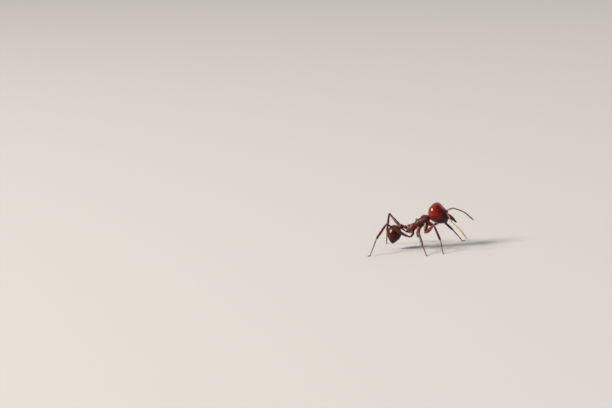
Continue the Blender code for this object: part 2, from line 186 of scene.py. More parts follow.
TRUNK_AXES = np.array([heading(0, TRUNK_PITCH), [0, 1, 0], heading(180, 90 - TRUNK_PITCH)])
HEAD_AXES = np.array([heading(0, HEAD_PITCH), [0, 1, 0], heading(0, 90 + HEAD_PITCH)])
GASTER_BACK = heading(180, GASTER_PITCH)
GASTER_AXES = np.array([GASTER_BACK, [0, 1, 0], np.cross([0, 1, 0], GASTER_BACK)])

# The CAD stands its model over the origin, and the foremost point of its head tells how far that moved it.
head_points = cad_mesh("head")[0]
foremost = head_points[(head_points @ HEAD_AXES[0]).argmax()]
SHIFT = (foremost - HEAD_CENTRE - HEAD_AXES[0] * HEAD_FRONT) * [1, 1, 0]
TRUNK_ORIGIN = WAIST + SHIFT
HEAD_ORIGIN = HEAD_CENTRE + SHIFT
GASTER_ORIGIN = GASTER_CENTRE + SHIFT


# Parts: a mesh in numpy arrays, with a tone, an unwrap and a lie of the hair at each point


class Part:
    def __init__(self, points, faces, unwrap=None, grain=None, tone=0.0):
        self.points = np.asarray(points, float)
        self.faces = [tuple(int(i) for i in f) for f in faces]
        count = len(self.points)
        self.unwrap = np.zeros((count, 2)) if unwrap is None else np.asarray(unwrap, float)
        self.grain = np.tile(UP, (count, 1)) if grain is None else unit(np.broadcast_to(grain, (count, 3)))
        self.tone = np.zeros(count) + tone

    def triangles(self):
        return np.array([(f[0], f[i], f[i + 1]) for f in self.faces for i in range(1, len(f) - 1)])

    def normals(self):
        tris = self.triangles()
        corners = self.points[tris]
        total = np.zeros_like(self.points)
        for k in range(3):
            np.add.at(total, tris[:, k], face_crosses(corners))
        return unit(total)


def merged(parts):
    faces, start = [], 0
    for part in parts:
        faces += [tuple(i + start for i in f) for f in part.faces]
        start += len(part.points)
    joined = (np.concatenate([getattr(part, kind) for part in parts]) for kind in ("unwrap", "grain", "tone"))
    return Part(np.vstack([part.points for part in parts]), faces, *joined)


def rows_to_part(rows, ends=None, unwrap=None, grain=None, tone=None):
    """A closed part from rows of points. Each end is drawn to a point, its middle unless ends says where."""
    rings, sides = rows.shape[:2]
    index = np.arange(rings * sides).reshape(rings, sides)
    after = np.roll(index, -1, axis=1)
    first, last = rings * sides, rings * sides + 1
    faces = [*np.stack([index[:-1], after[:-1], after[1:], index[1:]], -1).reshape(-1, 4)]
    faces += [(first, b, a) for a, b in zip(index[0], after[0])]
    faces += [(last, a, b) for a, b in zip(index[-1], after[-1])]
    ends = (rows[0].mean(0), rows[-1].mean(0)) if ends is None else ends
    points = np.vstack([rows.reshape(-1, 3), *ends])

    def with_ends(values):
        flat = values.reshape(rings * sides, -1)
        return np.vstack([flat, values[0].mean(0), values[-1].mean(0)])

    if unwrap is None:
        f, t = np.meshgrid(np.linspace(0, 1, rings), np.arange(sides) / sides, indexing="ij")
        unwrap = np.stack([f, t], -1)
    grain = None if grain is None else with_ends(grain)
    tone = 0.0 if tone is None else with_ends(tone[..., None])[:, 0]
    return Part(points, faces, with_ends(unwrap), grain, tone)


def along_line(wanted, known, points):
    return np.stack([np.interp(wanted, known, points[:, k]) for k in range(3)], -1)


def smooth_line(points, count=160):
    """Evenly spaced points on a smooth curve through the given ones."""
    p = np.asarray(points, float)
    if len(p) == 2:
        return p[0] + (p[1] - p[0]) * np.linspace(0, 1, count)[:, None]
    p = np.vstack([2 * p[0] - p[1], p, 2 * p[-1] - p[-2]])
    fine = []
    for a, b, c, d in zip(p, p[1:], p[2:], p[3:]):
        t = np.linspace(0, 1, 40, endpoint=False)[:, None]
        squared, cubed = (2 * a - 5 * b + 4 * c - d) * t**2, (3 * b - a - 3 * c + d) * t**3
        fine.append(0.5 * (2 * b + (c - a) * t + squared + cubed))
    fine = np.vstack(fine + [p[-2]])
    walked = np.concatenate([[0], np.cumsum(np.linalg.norm(np.diff(fine, axis=0), axis=1))])
    even = np.linspace(0, walked[-1], count)
    return along_line(even, walked, fine)


def tube(path, radius, sides, rings, up=UP, shape=None, tone=None, rounded=True):
    """A closed tube along a smooth path, its top turned to up.

    radius(f) is its size at a fraction of its length, shape(f, t) scales that round the section,
    where t is 0 at one side and a quarter turn at the top, and tone(f) darkens it.
    """
    line = smooth_line(path)
    length = np.linalg.norm(np.diff(line, axis=0), axis=1).sum()
    steps = np.linspace(0, 1, rings)
    f = 0.5 - 0.5 * np.cos(PI * steps) if rounded else steps
    f = np.clip(f, 0.002, 0.998)
    at = np.linspace(0, 1, len(line))
    places, ways = along_line(f, at, line), unit(along_line(f, at, unit(np.gradient(line, axis=0))))
    size = radius(f)
    if rounded:
        for distance, end in ((f, size[0]), (1 - f, size[-1])):
            inside = clamp(distance * length / end)
            size = size * np.sqrt(1 - (1 - inside) ** 2 * 0.999)
    top = unit(up - ways[0] * (up @ ways[0]))
    turns = full_turn(sides)
    rows = []
    for place, way, r, fraction in zip(places, ways, size, f):
        top = unit(top - way * (top @ way))
        side = np.cross(top, way)
        grow = r * (shape(fraction, turns) if shape else np.ones(sides))
        rows.append(place + grow[:, None] * (np.cos(turns)[:, None] * side + np.sin(turns)[:, None] * top))
    rows = np.array(rows)
    grain = np.repeat(ways[:, None], sides, axis=1)
    unwrap = np.stack(np.broadcast_arrays(f[:, None], turns / (2 * PI)), -1)
    shade = None if tone is None else np.broadcast_to(tone(f)[:, None], rows.shape[:2])
    return rows_to_part(rows, (places[0], places[-1]), unwrap, grain, shade)


def cone(root, way, length, radius, sides=10, sunk=0.12, bend=None, bluntness=0.1):
    """A thorn: a cone sunk in what it grows from, its tip bent towards bend."""
    way = unit(way)
    bend = way if bend is None else unit(bend)
    path = [root - way * sunk, root, root + way * length * 0.5, root + unit(way + bend * 0.6) * length]

    def size(f):
        rise = clamp((f * (length + sunk) - sunk) / length)
        return radius * ((1 - rise) ** 0.85 * (1 - bluntness) + bluntness)

    side = unit(np.cross(way, [0.31, 0.87, 0.13]))
    return tube(path, size, sides, 18, side)


def unit_ball(sides, rings):
    """Rows of points of a ball, from one of its poles to the other, and the poles, which lie on x."""
    a, t = np.meshgrid(PI * (np.arange(1, rings) / rings), full_turn(sides), indexing="ij")
    rows = np.stack([-np.cos(a), np.sin(a) * np.cos(t), np.sin(a) * np.sin(t)], -1)
    return rows, np.array([[-1.0, 0, 0], [1.0, 0, 0]])


def bead(centre, radii, axes=np.eye(3), sides=20, rings=14, tone=0.0):
    """An ellipsoid in a frame of three axes."""
    rows, poles = unit_ball(sides, rings)
    put = lambda p: centre + (p * radii) @ axes
    part = rows_to_part(put(rows), [put(pole) for pole in poles])
    part.tone[:] = tone
    return part


def hinge(centre, radius, sides=16, rings=12):
    """The layer of soft skin that shows in a joint."""
    return ("membrane", bead(centre, [radius] * 3, sides=sides, rings=rings))


def linked(name, data):
    """A new object in the scene."""
    obj = bpy.data.objects.new(name, data)
    bpy.context.scene.collection.objects.link(obj)
    return obj


def remeshed(parts, voxel, smoothing):
    """The parts fused into one even skin."""
    whole = merged(parts)
    mesh = bpy.data.meshes.new("fused")
    mesh.from_pydata(whole.points.tolist(), [], whole.faces)
    obj = linked("fused", mesh)
    fuse = obj.modifiers.new("fuse", "REMESH")
    fuse.mode = "VOXEL"
    fuse.voxel_size = voxel
    even = obj.modifiers.new("even", "SMOOTH")
    even.factor = 0.5
    even.iterations = smoothing
    result = obj.evaluated_get(bpy.context.evaluated_depsgraph_get()).to_mesh()
    points = np.array([v.co for v in result.vertices])
    faces = [tuple(f.vertices) for f in result.polygons]
    bpy.data.objects.remove(obj)
    bpy.data.meshes.remove(mesh)
    return Part(points, faces)


def emboss(skin, relief):
    lift, skin.tone = relief(skin.points)
    skin.points = skin.points + skin.normals() * lift[:, None]


# Materials


def new_material(name):
    material = bpy.data.materials.new(name)
    material.use_nodes = True
    return material, material.node_tree, material.node_tree.nodes["Principled BSDF"]


def feed(tree, socket, value):
    if isinstance(value, bpy.types.NodeSocket):
        tree.links.new(value, socket)
    else:
        socket.default_value = value


def feed_node(tree, node, **inputs):
    for name, value in inputs.items():
        feed(tree, node.inputs[name.replace("_", " ")], value)
    return node


def shader_node(tree, kind, output, **inputs):
    """One output of a new node."""
    return feed_node(tree, tree.nodes.new("ShaderNode" + kind), **inputs).outputs[output]


def mix_colour(tree, factor, a, b):
    mixed = shader_node(tree, "Mix", 2)
    mixed.node.data_type = "RGBA"
    for index, value in ((0, factor), (6, a), (7, b)):
        feed(tree, mixed.node.inputs[index], value)
    return mixed


def span(tree, value, low, high, to_low=0.0, to_high=1.0):
    limits = {"From_Min": low, "From_Max": high, "To_Min": to_low, "To_Max": to_high}
    return shader_node(tree, "MapRange", "Result", Value=value, **limits)


def cuticle(name, colour, bright, dark, rough, coat, coat_rough, mottle, grain, relief, shine):
    """Insect shell: two reds mottled together, darkened by the tone, with fine relief under a gloss.

    rough is the least and greatest roughness, mottle and grain are texture scales per metre,
    relief is the depth of the grain in millimetres, and shine is the strength of the gloss.
    """
    material, tree, shader = new_material(name)
    place = shader_node(tree, "TexCoord", "Object")
    broad = shader_node(tree, "TexNoise", "Fac", Vector=place, Scale=mottle, Detail=4, Roughness=0.6)
    fine = shader_node(tree, "TexNoise", "Fac", Vector=place, Scale=grain, Detail=3, Roughness=0.55)
    tone = shader_node(tree, "Attribute", "Fac")
    tone.node.attribute_name = "tone"
    body = mix_colour(tree, span(tree, broad, 0.35, 0.68), (*colour, 1), (*bright, 1))
    shade = mix_colour(tree, tone, body, (*dark, 1))
    rough = span(tree, fine, 0.3, 0.7, *rough)
    bump = shader_node(tree, "Bump", "Normal", Height=fine, Strength=0.6, Distance=relief * MM)
    feed_node(tree, shader, Base_Color=shade, Roughness=rough, Normal=bump)
    feed_node(tree, shader, Coat_Weight=coat, Coat_Roughness=coat_rough, Specular_IOR_Level=shine)
    return material


BRISTLE = (0.28, 0.14, 0.06)
BRISTLE_DARK = [c * 0.6 for c in BRISTLE]


def bristle_material():
    material, tree, shader = new_material("bristle")
    place = shader_node(tree, "TexCoord", "Object")
    noise = shader_node(tree, "TexNoise", "Fac", Vector=place, Scale=1500, Detail=2)
    shade = mix_colour(tree, span(tree, noise, 0.3, 0.7), (*BRISTLE, 1), (*BRISTLE_DARK, 1))
    feed_node(tree, shader, Base_Color=shade, Roughness=0.42)
    return material


# What cuticle takes: name, two reds, dark, roughness, coat and its roughness, mottle, grain, relief, shine.
SHELLS = {
    "head": ("head_shell", (0.128, 0.005, 0.0026), (0.205, 0.0105, 0.005), (0.009, 0.0025, 0.0018),
             (0.17, 0.27), 0.38, 0.15, 600, 16000, 0.01, 0.09),
    "trunk": ("trunk_shell", (0.076, 0.01, 0.0082), (0.16, 0.027, 0.022), (0.012, 0.002, 0.0016), (0.28, 0.48),
              0.06, 0.25, 900, 9000, 0.035, 0.19),
    "gaster": ("gaster_shell", (0.022, 0.0024, 0.0014), (0.054, 0.0048, 0.0026), (0.006, 0.0018, 0.0015),
               (0.22, 0.34), 0.16, 0.1, 700, 13000, 0.01, 0.15),
    "leg": ("leg_shell", (0.04, 0.0058, 0.0032), (0.092, 0.0135, 0.0068), (0.01, 0.0026, 0.002), (0.28, 0.44),
            0.08, 0.18, 1100, 12000, 0.015, 0.2),
    # The thigh shell is a brighter, glossier red copy of the leg shell: partly the thighs' own red, partly
    # painted light.
    "thigh": ("thigh_shell", (0.115, 0.0105, 0.0062), (0.21, 0.022, 0.012), (0.026, 0.005, 0.0035), (0.26, 0.4),
              0.15, 0.14, 900, 12000, 0.015, 0.32),
    "tarsus": ("foot_shell", (0.076, 0.0175, 0.0092), (0.135, 0.035, 0.0175), (0.026, 0.0065, 0.004),
               (0.36, 0.52), 0.08, 0.2, 1300, 12000, 0.015, 0.3),
    "scape": ("scape_shell", (0.13, 0.034, 0.017), (0.23, 0.072, 0.036), (0.04, 0.009, 0.006), (0.32, 0.46),
              0.12, 0.2, 1300, 12000, 0.012, 0.4),
    # The flagellum shell is pale gold: partly the feelers' own colour, partly a painted highlight.
    "flagellum": ("flagellum_shell", (0.23, 0.114, 0.055), (0.37, 0.215, 0.118), (0.09, 0.034, 0.018),
                  (0.38, 0.55), 0.05, 0.2, 1300, 12000, 0.012, 0.4),
    "mandible": ("mandible_shell", (0.03, 0.0056, 0.003), (0.066, 0.011, 0.0058), (0.006, 0.0026, 0.0018),
                 (0.28, 0.42), 0.06, 0.15, 900, 9000, 0.02, 0.2),
    "eye": ("eye_lens", (0.006, 0.005, 0.005), (0.012, 0.01, 0.01), (0.003, 0.003, 0.003), (0.14, 0.22),
            0.2, 0.08, 1500, 9000, 0.002, 0.4),
    "claw": ("claw_horn", (0.035, 0.008, 0.005), (0.08, 0.018, 0.01), (0.012, 0.004, 0.003), (0.2, 0.3),
             0.2, 0.1, 1500, 9000, 0.006, 0.45),
    "membrane": ("joint_skin", (0.11, 0.03, 0.016), (0.16, 0.052, 0.028), (0.04, 0.01, 0.006), (0.45, 0.6),
                 0.0, 0.2, 1500, 9000, 0.01, 0.3),
}
MATERIALS = {key: cuticle(*shell) for key, shell in SHELLS.items()}
MATERIALS["seta"] = bristle_material()


def place_piece(name, mesh, replaced=()):
    mesh.shade_smooth()
    obj = linked(name, mesh)
    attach(obj, "root")
    if replaced:
        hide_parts(*replaced)


def make_piece(name, layers, replaced=()):
    """One object from layers of (material name, part), standing for CAD nodes."""
    whole = merged([part for _, part in layers])
    mesh = bpy.data.meshes.new(name)
    mesh.from_pydata((whole.points * MM).tolist(), [], whole.faces)
    names = list(dict.fromkeys(material for material, _ in layers))
    for material in names:
        mesh.materials.append(MATERIALS[material])
    indices = [np.full(len(part.faces), names.index(material)) for material, part in layers]
    mesh.polygons.foreach_set("material_index", np.concatenate(indices).astype(np.int32))
    tone = mesh.attributes.new("tone", "FLOAT", "POINT")
    tone.data.foreach_set("value", whole.tone.astype(np.float32))
    mesh.update()
    place_piece(name, mesh, replaced)


# Hair: each bristle is a thin curved cone of three sides

RINGS = (-0.15, 0.0, 0.45, 0.8)
ROOT_FACE, TIP_FACES = [(0, 2, 1)], [(9 + k, 9 + (k + 1) % 3, 12) for k in range(3)]
SIDE_QUADS = [(3 * row + k, 3 * row + (k + 1) % 3) for row in range(3) for k in range(3)]
BRISTLE_FACES = np.array(
    ROOT_FACE + [f for a, b in SIDE_QUADS for f in ((a, b, b + 3), (a, b + 3, a + 3))] + TIP_FACES
)
# A bristle's patch on the bake map, and how far in millimetres all hair keeps inside the CAD's box.
PATCH, CLEAR = 0.003, 0.01


def bristles(name, sources):
    """One coat piece. A source is a part, its hair, and how thickly that grows at a place, if not evenly."""
    tile = math.ceil(math.sqrt(len(sources)))
    box_low, box_high = np.array(cad_low) / MM, np.array(cad_high) / MM
    all_points, all_uv = [], []
    for number, (part, count, lengths, radius, lean, *kept) in enumerate(sources):
        tris = part.triangles()
        corners = part.points[tris]
        weights = np.linalg.norm(face_crosses(corners), axis=1)
        for keep in kept:
            weights = weights * keep(corners.mean(1))
        picked = RANDOM.choice(len(tris), count, p=weights / weights.sum())
        a, b = RANDOM.random((2, count))
        over = a + b > 1
        a, b = np.where(over, 1 - a, a), np.where(over, 1 - b, b)
        shares = np.stack([1 - a - b, a, b], -1)[..., None]
        blend = lambda values: (values[tris[picked]] * shares).sum(1)
        root, out, lie = blend(part.points), unit(blend(part.normals())), unit(blend(part.grain))
        lie = unit(lie - out * (lie * out).sum(1)[:, None] + RANDOM.normal(0, 0.18, (count, 3)))
        size = RANDOM.uniform(*lengths, count)
        spot = (clamp(blend(part.unwrap)) * 0.92 + 0.04 + [number % tile, number // tile]) / tile
        side = unit(np.cross(out, lie))
        leans = lean * RANDOM.uniform(0.8, 1.2, count)
        points, uv = [], []
        for s in (*RINGS, 1.0):
            bent = leans * (0.7 + 0.5 * max(s, 0))
            way = unit(out * np.cos(bent)[:, None] + lie * np.sin(bent)[:, None])
            centre = root + way * (size * s)[:, None]
            if s == 1.0:
                points.append(centre)
                uv.append(spot + PATCH * np.array([0.0, 0.5]))
                break
            other = unit(np.cross(way, side))
            r = radius * (1 - 0.7 * max(s, 0))
            for k in range(3):
                t = 2 * PI * k / 3
                points.append(centre + r * (side * math.cos(t) + other * math.sin(t)))
                uv.append(spot + PATCH * np.array([k / 3 - 0.5, s - 0.5]))
        points, uv = np.stack(points, 1), np.stack(uv, 1)
        inside = ((points > box_low + CLEAR) & (points < box_high - CLEAR)).all(axis=(1, 2))
        all_points.append(points[inside])
        all_uv.append(uv[inside])
    points, uv = np.vstack(all_points), np.vstack(all_uv)
    count, each = points.shape[:2]
    faces = (BRISTLE_FACES + each * np.arange(count)[:, None, None]).reshape(-1, 3)
    mesh = bpy.data.meshes.new(name)
    mesh.from_pydata((points.reshape(-1, 3) * MM).tolist(), [], faces.tolist())
    mesh.materials.append(MATERIALS["seta"])
    layer = mesh.uv_layers.new(name="OFBake")
    layer.data.foreach_set("uv", uv.reshape(-1, 2)[faces.ravel()].astype(np.float32).ravel())
    place_piece(name, mesh)


# Head


def head_surface(p):
    """Where points of the unit ball lie on the head: full, tapered in front, raised and cleft behind."""
    u, v, w = p[..., 0], p[..., 1], p[..., 2]
    ahead = np.where(u > -0.6, (u + 0.6) / 1.6, 0.0)
    width = HEAD_HALF_WIDTH * (1 - (1 - HEAD_FRONT_WIDTH) * ease(ahead))
    rise = HEAD_RISE * (1 - (1 - HEAD_FRONT_RISE) * ahead)
    drop = HEAD_DROP * (1 - (1 - HEAD_FRONT_DROP) * ahead)
    full = np.maximum(0.0, 1 - abs(u) ** HEAD_FULLNESS) ** (1 / HEAD_FULLNESS)
    full = full / np.sqrt(np.maximum(1e-9, 1 - u**2))
    y = v * width * full
    z = w * full * np.where(w > 0, rise, drop) + HEAD_BACK_LIFT * ease(-u)
    x = u * np.where(u > 0, HEAD_FRONT, HEAD_BACK) + HEAD_CLEFT_DEPTH * ease(-u) * hump(y, HEAD_CLEFT_WIDTH)
    return np.stack([x, y, z], -1) * INSET


def out_of_head(points):
    """Points of the head's own frame, in the model's frame."""
    return HEAD_ORIGIN + points @ HEAD_AXES


def head_relief(p):
    """How far each point of the head stands out or lies in, and how dark it is."""
    x, y, z = p.T
    w = abs(y)
    top, under = ease(z / 0.4 + 0.5), ease(-z / 0.4 + 0.5)
    lift = np.zeros(len(p))
    # The furrow down the middle, and a shallower one below.
    furrow = hump(y, 0.075) * top * ease(0.95 - x, 0.5)
    lift -= 0.055 * furrow
    lift -= 0.03 * hump(y, 0.05) * under * ease(1.3 - x, 0.4)
    # The ridges that run back from the feelers, the lobes over the feelers and the dip between them.
    ridge_line = 0.4 + (1.15 - x) * 0.42
    lift += 0.05 * hump(w - ridge_line, 0.06) * top * ease(x - 0.05, 0.4) * ease(1.35 - x, 0.2)
    lift += 0.13 * hump(x - 1.17, 0.26) * hump(w - 0.36, 0.14) * top
    lift -= 0.05 * hump(x - 1.36, 0.12) * hump(w, 0.16) * top
    # The feelers' sockets, the suture behind the lip's plate, the plate, and a ridge along each cheek.
    socket = np.linalg.norm(np.stack([x, w, z], -1) - SOCKET, axis=1)
    lift += 0.05 * hump(socket - 0.25, 0.06) - 0.1 * hump(socket, 0.17)
    border = 1.52 + 0.22 * clamp(w / 0.7) ** 2
    suture = hump(x - border, 0.035) * top * ease(0.85 - w, 0.1)
    lift -= 0.035 * suture
    lift += 0.05 * ease(x - border, 0.15) * top * hump(w, 0.55)
    lift += 0.025 * hump(z - 0.15 - 0.1 * x, 0.06) * ease(x - 0.6, 0.3) * ease(w - 0.6, 0.2)
    # A rim round each eye, faint unevenness, and faint creases on the back of the head.
    rim = np.zeros(len(p))
    for side in SIDES:
        eye = (middle(f"eye_{side}") - HEAD_ORIGIN) @ HEAD_AXES.T
        rim = np.maximum(rim, hump(np.linalg.norm(p - eye, axis=1) - 0.31, 0.045))
    lift += 0.028 * rim
    lift += 0.012 * np.sin(3.1 * x + 1.0) * np.sin(2.7 * z) * top
    for k in range(5):
        crease = hump(w - 0.95 - 0.22 * k + 0.35 * (x + 1.6), 0.028) * top * ease(-0.9 - x, 0.5)
        lift -= 0.01 * crease
    # The head is darker in front, partly its own darker front and partly painted shade, darker below with
    # painted shade, and darker on its crown with a painted dull sheen.
    front = ease(x - 0.28 * z - 0.1, 1.3)
    low = ease(-z - 0.7, 1.1)
    crown = ease(z - 0.9)
    tone = 1 - (1 - 0.86 * front) * (1 - 0.55 * low)
    # Painted shade also darkens the furrows, the suture, the feelers' sockets and the rims round the eyes.
    tone += 0.24 * crown + 0.5 * furrow + 0.5 * suture + 0.55 * hump(socket, 0.2) + 0.35 * rim
    return lift, clamp(tone)


def head_horns(length, radius, sunk, bluntness):
    horns = []
    for sign in SIDES.values():
        root = HORN_ROOT * [1, sign, 1]
        way = unit(HORN_TIP * [1, sign, 1] - root)
        horns.append(cone(root - way * sunk, way, length, radius, bluntness=bluntness))
    return horns


def build_head():
    rows, poles = unit_ball(120, 90)
    ball = rows_to_part(head_surface(rows), [head_surface(pole) for pole in poles])
    skin = remeshed([ball] + head_horns(0.22, 0.17, 0.05, 0.25), 0.05, 6)
    emboss(skin, head_relief)
    x, y, z = skin.points.T
    skin.unwrap = np.stack([0.5 + np.arctan2(y, z) / (2 * PI), (x + 2.4) / 4.8], -1)
    skin.grain = np.tile(HEAD_AXES[0], (len(skin.points), 1))
    skin.points = out_of_head(skin.points)
    tips = head_horns(0.3, 0.11, 0.0, 0.08)
    for tip in tips:
        tip.points = out_of_head(tip.points)
        tip.tone[:] = 0.4
    make_piece("head_shell", [("head", part) for part in [skin] + tips], ["head"])
    return skin


LENSES, LENS_RADIUS, LENS_SWELL = 420, 0.062, 0.03
EYE_RADII, EYE_SUNK = (0.17, 0.255, 0.235), 0.02


def build_eyes():
    """Each eye is a low dome packed with lenses, spread over it like the seeds of a sunflower."""
    k = np.arange(LENSES) + 0.5
    polar, turn = np.arccos(1 - k / LENSES), PI * (1 + 5**0.5) * k
    spots = np.stack([np.cos(polar), np.sin(polar) * np.cos(turn), np.sin(polar) * np.sin(turn)], -1)
    tree = KDTree(LENSES)
    for i, spot in enumerate(spots):
        tree.insert(spot, i)
    tree.balance()
    for side in SIDES:
        centre = middle(f"eye_{side}")
        out = unit((centre - HEAD_ORIGIN) * [0.35, 1.0, 0.35])
        fore = unit(HEAD_AXES[0] - out * (HEAD_AXES[0] @ out))
        axes = np.array([out, fore, np.cross(out, fore)])
        dome = bead([0, 0, 0], [1, 1, 1], np.eye(3), 96, 72)
        near = np.array([tree.find(p)[2] for p in dome.points]) / LENS_RADIUS
        swell = 1 + LENS_SWELL * clamp(1 - near**2) * (dome.points[:, 0] > 0)
        dome.points = centre + (dome.points * swell[:, None] * EYE_RADII) @ axes - out * EYE_SUNK
        # Painted shade darkens the hollows between the lenses.
        dome.tone = clamp(near) * 0.8
        make_piece(f"eye_{side}_lens", [("eye", dome)], [f"eye_{side}"])


# Mandibles and mouth

MANDIBLE_ROOT, MANDIBLE_LENGTH, MANDIBLE_WIDTH, MANDIBLE_THICKNESS = 1.45, 2.5, 1.15, 0.6
TEETH = 9


def mandible(sign):
    """A broad curved blade with a row of uneven teeth along its inner edge, the largest at the tip."""
    f = np.linspace(0, 1, 200)[:, None]
    outer = between(1.04, 0.12, f**2.2)
    width = MANDIBLE_WIDTH * (1 - 0.8 * f**1.5)
    row = clamp((f - 0.3) / 0.66)
    place = row * TEETH
    valley = abs(2 * (place % 1) - 1) ** 1.3 * ((f > 0.3) & (f < 0.96))
    uneven = 0.75 + 0.25 * np.cos(PI * np.floor(place)) + 0.1 * np.sin(5 * np.floor(place))
    notch = valley * uneven * between(0.08, 0.17, row)
    inner = np.minimum(np.maximum(0.04, outer - width + 0.05), outer - 0.1)
    notch = np.minimum(notch, outer - inner - 0.05)
    thick = MANDIBLE_THICKNESS / 2 * 0.97 * (1 - 0.45 * f)
    thick = thick * (1 + 0.5 * np.sin(PI * np.minimum(1, 1.3 * f)))
    above = between(0.64, 0.34, f**1.4) + 0.1 * np.sin(PI * f)
    end = np.sqrt(1 - clamp((f - 0.95) / 0.05) ** 2 * 0.97)
    t = full_turn(32)
    inward = (0.5 - 0.5 * np.cos(t)) ** 5
    wedge = 0.22 + 0.78 * (0.5 + 0.5 * np.cos(t)) ** 0.8
    groove = 1 - 0.16 * hump(t - 0.9, 0.22) - 0.16 * hump(t - 1.55, 0.16)
    across = (outer + inner) / 2 + (outer - inner) / 2 * end * np.cos(t) + notch * inward
    height = above + thick * end * np.sin(t) * wedge * groove
    ahead = MANDIBLE_ROOT + MANDIBLE_LENGTH * 0.99 * f + 0 * t
    rows = np.stack([ahead, sign * across, height], -1)[:, ::sign]
    grain = np.broadcast_to(HEAD_AXES[0], rows.shape)
    bare = (rows[..., 1] * sign < inner + 0.16) * (f > 0.25)
    tone = clamp(0.15 + 0.5 * bare + 0.45 * f)
    part = rows_to_part(rows, grain=grain, tone=tone)
    part.points = out_of_head(part.points)
    return part


def build_mandibles():
    parts = []
    for side, sign in SIDES.items():
        parts.append(mandible(sign))
        make_piece(f"mandible_{side}_blade", [("mandible", parts[-1])], [f"mandible_{side}"])
    return parts


def build_mouth():
    """The lip and the folded mouthparts under the mandibles, with their short feelers."""
    lump = lambda place, *rest: ("mandible", bead(out_of_head(place), rest[0], HEAD_AXES, *rest[1:]))
    layers = [lump([1.92, 0, 0.22], [0.46, 0.4, 0.17], 28, 18, 0.6)]
    layers.append(lump([1.55, 0, -0.66], [0.72, 0.44, 0.34], 28, 20, 0.7))
    layers.append(lump([1.98, 0, -0.34], [0.34, 0.3, 0.2], 28, 18, 0.9))
    for sign in SIDES.values():
        layers.append(lump([1.74, sign * 0.4, -0.48], [0.52, 0.22, 0.24], 24, 16, 0.6))
        for ahead, aside, length in ((1.95, 0.42, 0.42), (2.02, 0.16, 0.32)):
            root = out_of_head([ahead, sign * aside, -0.66])
            way = [0.75, sign * 0.35, -0.62] @ HEAD_AXES
            tip = root + unit(way) * length
            knee = (root + tip) / 2 + [0.1, sign * 0.08, 0.0] @ HEAD_AXES
            feeler = tube([root, knee, tip], lambda f: 0.038 - 0.012 * f, 8, 18, HEAD_AXES[2])
            layers.append(("tarsus", feeler))
    make_piece("mouthparts", layers)


# Antennae


def beads(count, first, last, narrow, wide, neck):
    """The size along a limb of many short segments, each narrow at its root and wide at its end."""
    shares = np.ones(count)
    shares[0], shares[-1] = first, last
    edges = np.concatenate([[0], np.cumsum(shares / shares.sum())])

    def within(f):
        """How far each place is along its own segment."""
        i = np.clip(np.searchsorted(edges, f, side="right") - 1, 0, count - 1)
        return (f - edges[i]) / (edges[i + 1] - edges[i])

    def size(f):
        inside = within(f)
        swell = neck + (1 - neck) * np.sin(PI / 2 * clamp(inside / 0.75)) ** 0.8
        closing = clamp((inside - 0.88) / 0.12)
        return between(narrow, wide, f) * swell * (1 - (1 - neck) * closing**2)

    def tone(f):
        return 0.55 * hump(within(f), 0.09) + 0.55 * hump(1 - within(f), 0.06)

    return size, tone


def build_antenna(side):
    scape_node, funiculus_node = f"antenna_{side}_scape", f"antenna_{side}_funiculus"
    socket = meeting(scape_node, "head")
    elbow = joint(scape_node, funiculus_node)
    points = cad_mesh(funiculus_node)[0]
    tip = points[np.linalg.norm(points - elbow, axis=1).argmax()]
    tip = tip - unit(tip - elbow) * 0.06
    inner = socket - unit(elbow - socket) * 0.16
    bowed = (socket + elbow) / 2 + UP * 0.07

    def scape_size(f):
        ball = 0.105 * hump(f - 0.02, 0.03)
        return ball + 0.075 + 0.055 * ease(f * 1.6) - 0.02 * ease(f - 0.9, 0.1)

    scape = tube([inner, bowed, elbow], scape_size, 20, 70, tone=lambda f: 0.75 - 0.75 * ease(f * 5))
    size, tone = beads(10, 1.35, 1.9, 0.11, 0.165, 0.74)
    route = [elbow] + [waypoint(funiculus_node, elbow, tip, f) for f in (0.28, 0.55, 0.8)] + [tip]
    tapered = lambda f: size(f) * (1 - 0.35 * ease(f - 0.86, 0.14))
    funiculus = tube(route, tapered, 18, 260, tone=tone, rounded=False)
    cap = bead(tip, [0.1, 0.066, 0.066], frame_along(unit(route[-1] - route[-2])), 14, 10)
    ring = ring_round(socket, unit(elbow - socket), 0.15, 0.035)
    layers = [("scape", scape), ("flagellum", funiculus), ("flagellum", cap), hinge(elbow, 0.085)]
    layers.append(("mandible", ring))
    make_piece(f"antenna_{side}", layers, [scape_node, funiculus_node])
    return scape, funiculus


def frame_along(way):
    side = unit(np.cross(way, [0.12, 0.31, 0.94]))
    return np.array([way, side, np.cross(way, side)])


def ring_round(centre, axis, radius, thickness, around=28, sides=10):
    """A ring lying round an axis."""
    _, a, b = frame_along(axis)
    t, s = np.meshgrid(full_turn(around), full_turn(sides), indexing="ij")
    out = np.cos(t)[..., None] * a + np.sin(t)[..., None] * b
    away, along = radius + thickness * np.cos(s), thickness * np.sin(s)
    points = centre + out * away[..., None] + axis * along[..., None]
    index = np.arange(around * sides).reshape(around, sides)
    over, after = np.roll(index, -1, axis=0), np.roll(index, -1, axis=1)
    both = np.roll(over, -1, axis=1)
    faces = np.stack([index, over, both, after], -1).reshape(-1, 4)
    return Part(points.reshape(-1, 3), faces)


# Trunk


def trunk_size(s, k):
    """Half-width (k 0), rise (1) or drop (2) of the trunk at s along it."""
    total = TRUNK_END_RADIUS**6
    for centre, half, *sizes in (PRONOTUM, MESONOTUM, PROPODEUM):
        total = total + (sizes[k] * np.sqrt(np.maximum(0.0, 1 - ((s - centre) / half) ** 2))) ** 6
    return total ** (1 / 6)


def trunk_painted_shade(s):
    """The trunk is darker in front than behind: painted shade, as if in the head's shadow."""
    return 0.62 * ease(s - 1.25, 0.9)


